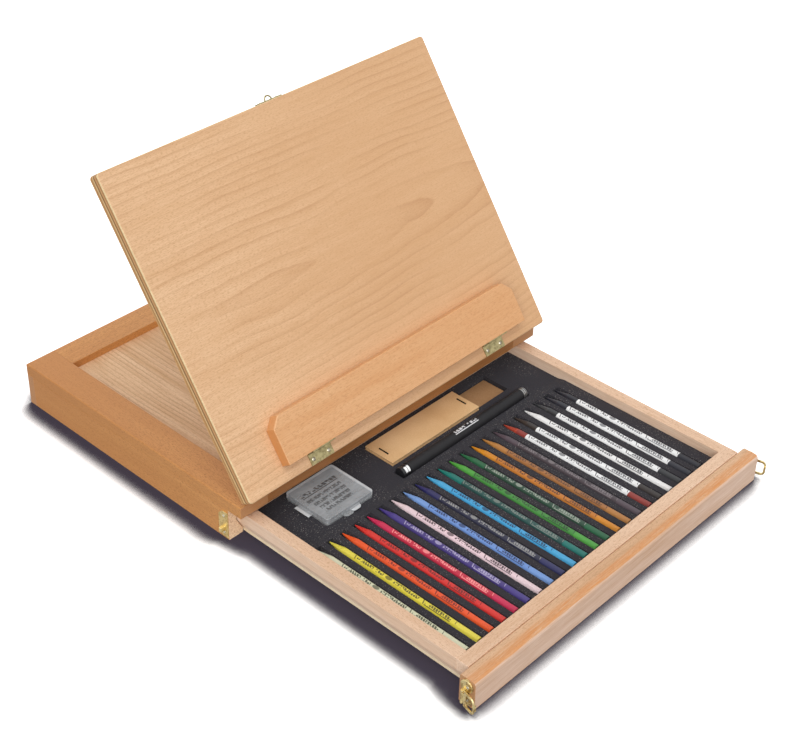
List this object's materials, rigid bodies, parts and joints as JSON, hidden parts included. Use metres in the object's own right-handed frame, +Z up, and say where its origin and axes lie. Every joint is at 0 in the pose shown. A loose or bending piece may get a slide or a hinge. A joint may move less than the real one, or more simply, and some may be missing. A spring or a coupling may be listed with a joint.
{
  "type": "table easel drawer box",
  "caption": "Tabletop easel box with a raised drawing board and an open drawer of pastel pencils in black foam.",
  "frame": {"origin": "middle of the underside of the case's back, on the surface that it stands on", "axes": "+X to the right along the hinged front edge, +Y from the drawer front to the back, +Z up; the board is raised and the drawer drawn out towards -Y"},
  "size_m": [0.4272, 0.5981, 0.3182],
  "materials": {
    "case_wood": "satin",
    "panel_plywood": "satin",
    "board_plywood": "satin",
    "drawer_wood": "satin",
    "plywood_bottom": "matte",
    "brass": "gloss",
    "screw_steel": "satin",
    "black_foam": "matte",
    "clear_plastic": "gloss",
    "eraser_grey": "matte",
    "kraft_card": "matte",
    "sandpaper": "matte",
    "staple_steel": "satin",
    "holder_black": "gloss",
    "holder_silver": "satin",
    "pencils_ivory_yellow_lacquer": "satin",
    "pencils_orange_red_lacquer": "satin",
    "pencils_raspberry_violet_lacquer": "satin",
    "pencils_pink_periwinkle_lacquer": "satin",
    "pencils_navy_sky_lacquer": "satin",
    "pencils_teal_leaf_lacquer": "satin",
    "pencils_pine_ochre_lacquer": "satin",
    "pencils_tan_mauve_lacquer": "satin",
    "pencils_sanguine_sepia_lacquer": "satin",
    "pencils_white_grey_lacquer": "satin",
    "pencils_charcoal_black_lacquer": "satin"
  },
  "bodies": {
    "case": {"case_side_right": "case_wood", "case_side_left": "case_wood", "case_back": "case_wood", "top_stile_right": "case_wood", "top_stile_left": "case_wood", "top_rail_front": "case_wood", "top_rail_back": "case_wood", "top_panel": "panel_plywood", "keeper_right": "brass", "keeper_left": "brass", "board_hinge_bases": "brass", "board_hinge_pins": "screw_steel"},
    "board": {"easel_board": "board_plywood", "board_hinge_leaves": "brass", "ledge_hinge_bases": "brass", "ledge_hinge_pins": "screw_steel", "prop_bracket": "brass", "prop_pin": "screw_steel", "eye_plate": "brass"},
    "ledge": {"ledge": "board_plywood", "ledge_hinge_leaves": "brass"},
    "prop": {"prop_frame": "board_plywood"},
    "drawer": {"drawer_front_bar": "drawer_wood", "drawer_front_rail": "drawer_wood", "drawer_side_right": "drawer_wood", "drawer_side_left": "drawer_wood", "drawer_back": "drawer_wood", "drawer_bottom": "plywood_bottom", "foam_insert": "black_foam", "latch_plate_right": "brass", "latch_plate_left": "brass", "eraser_box_base": "clear_plastic", "eraser_box_lid": "clear_plastic", "kneaded_eraser": "eraser_grey", "sanding_pad_card": "kraft_card", "sanding_pad_sheets": "sandpaper", "pad_staples": "staple_steel", "pencil_holder_tube": "holder_black", "pencil_holder_ends": "holder_silver", "pencils_ivory_yellow": "pencils_ivory_yellow_lacquer", "pencils_orange_red": "pencils_orange_red_lacquer", "pencils_raspberry_violet": "pencils_raspberry_violet_lacquer", "pencils_pink_periwinkle": "pencils_pink_periwinkle_lacquer", "pencils_navy_sky": "pencils_navy_sky_lacquer", "pencils_teal_leaf": "pencils_teal_leaf_lacquer", "pencils_pine_ochre": "pencils_pine_ochre_lacquer", "pencils_tan_mauve": "pencils_tan_mauve_lacquer", "pencils_sanguine_sepia": "pencils_sanguine_sepia_lacquer", "pencils_white_grey": "pencils_white_grey_lacquer", "pencils_charcoal_black": "pencils_charcoal_black_lacquer"},
    "latch_left": {"latch_loop_left": "brass"},
    "latch_right": {"latch_loop_right": "brass"}
  },
  "joints": [
    {"name": "drawer_slide", "type": "slide", "parent": "case", "child": "drawer", "axis": [0, -1, 0], "range_m": [-0.2767, 0]},
    {"name": "board_tilt", "type": "hinge", "parent": "case", "child": "board", "pos_m": [0, -0.31025, 0.0499], "axis": [1, 0, 0], "range_deg": [-55, 12]},
    {"name": "prop_fold", "type": "hinge", "parent": "board", "child": "prop", "pos_m": [0, -0.23011, 0.15859], "axis": [1, 0, 0], "range_deg": [-24, 110]},
    {"name": "ledge_fold", "type": "hinge", "parent": "board", "child": "ledge", "pos_m": [0, -0.31779, 0.07068], "axis": [1, 0, 0], "range_deg": [0, 90]},
    {"name": "latch_left_swing", "type": "hinge", "parent": "drawer", "child": "latch_left", "pos_m": [-0.2086, -0.57645, 0.012], "axis": [0, 0, 1], "range_deg": [-165, 10]},
    {"name": "latch_right_swing", "type": "hinge", "parent": "drawer", "child": "latch_right", "pos_m": [0.2086, -0.57645, 0.012], "axis": [0, 0, -1], "range_deg": [-165, 10]}
  ],
  "couplings": [
    {"joint": "prop_fold", "follows": "board_tilt", "ratio": -2}
  ]
}
